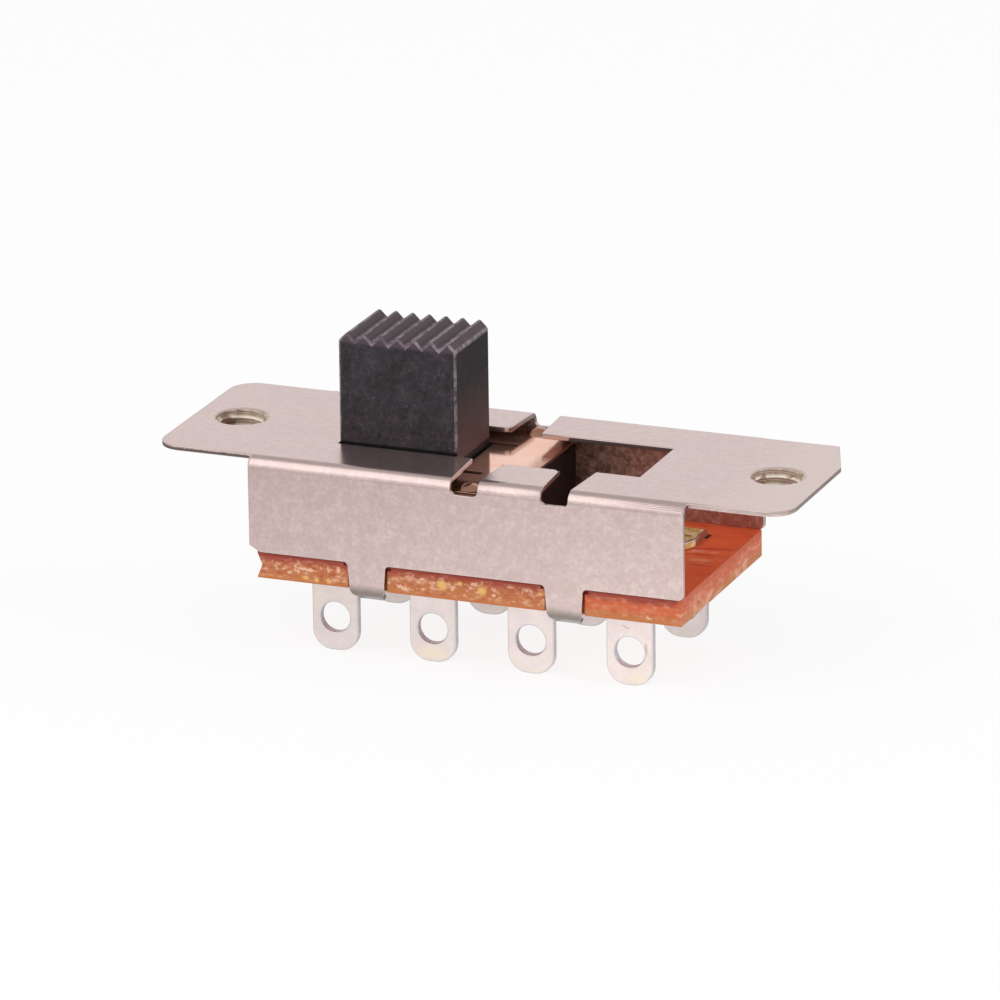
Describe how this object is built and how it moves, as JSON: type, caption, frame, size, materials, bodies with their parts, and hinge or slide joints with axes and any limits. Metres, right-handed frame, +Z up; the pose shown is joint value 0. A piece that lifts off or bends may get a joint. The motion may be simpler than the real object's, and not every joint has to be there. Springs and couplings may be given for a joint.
{
  "type": "slide switch",
  "caption": "Panel-mounted slide switch with a ridged knob in a folded metal frame, a laminate base board and rows of solder lugs.",
  "frame": {"origin": "centre of the bounding box in plan, at the tips of the solder lugs", "axes": "+X along the slider's travel, +Z up out of the face plate, -Y the front row of lugs"},
  "size_m": [0.0384, 0.0136, 0.0184],
  "materials": {
    "nickel_plate": "satin nickel plate",
    "phenolic_board": "phenolic laminate, semi-gloss faces and sawn edges",
    "tinned_lug": "tin plate, satin",
    "black_plastic": "moulded, satin, lightly scuffed",
    "spring_bronze": "bright phosphor bronze",
    "contact_bronze": "phosphor bronze",
    "spring_steel": "drawn wire"
  },
  "bodies": {
    "housing": {"frame": "nickel_plate", "base_board": "phenolic_board", "terminal_front_1": "tinned_lug", "terminal_front_2": "tinned_lug", "terminal_front_3": "tinned_lug", "terminal_front_4": "tinned_lug", "terminal_back_1": "tinned_lug", "terminal_back_2": "tinned_lug", "terminal_back_3": "tinned_lug", "terminal_back_4": "tinned_lug"},
    "actuator": {"slider": "black_plastic", "detent_spring": "spring_bronze", "moving_contact_front": "contact_bronze", "moving_contact_back": "contact_bronze", "contact_spring_front": "spring_steel", "contact_spring_back": "spring_steel"}
  },
  "joints": [
    {"name": "slider_travel", "type": "slide", "parent": "housing", "child": "actuator", "axis": [1, 0, 0], "range_m": [0, 0.01112]}
  ]
}
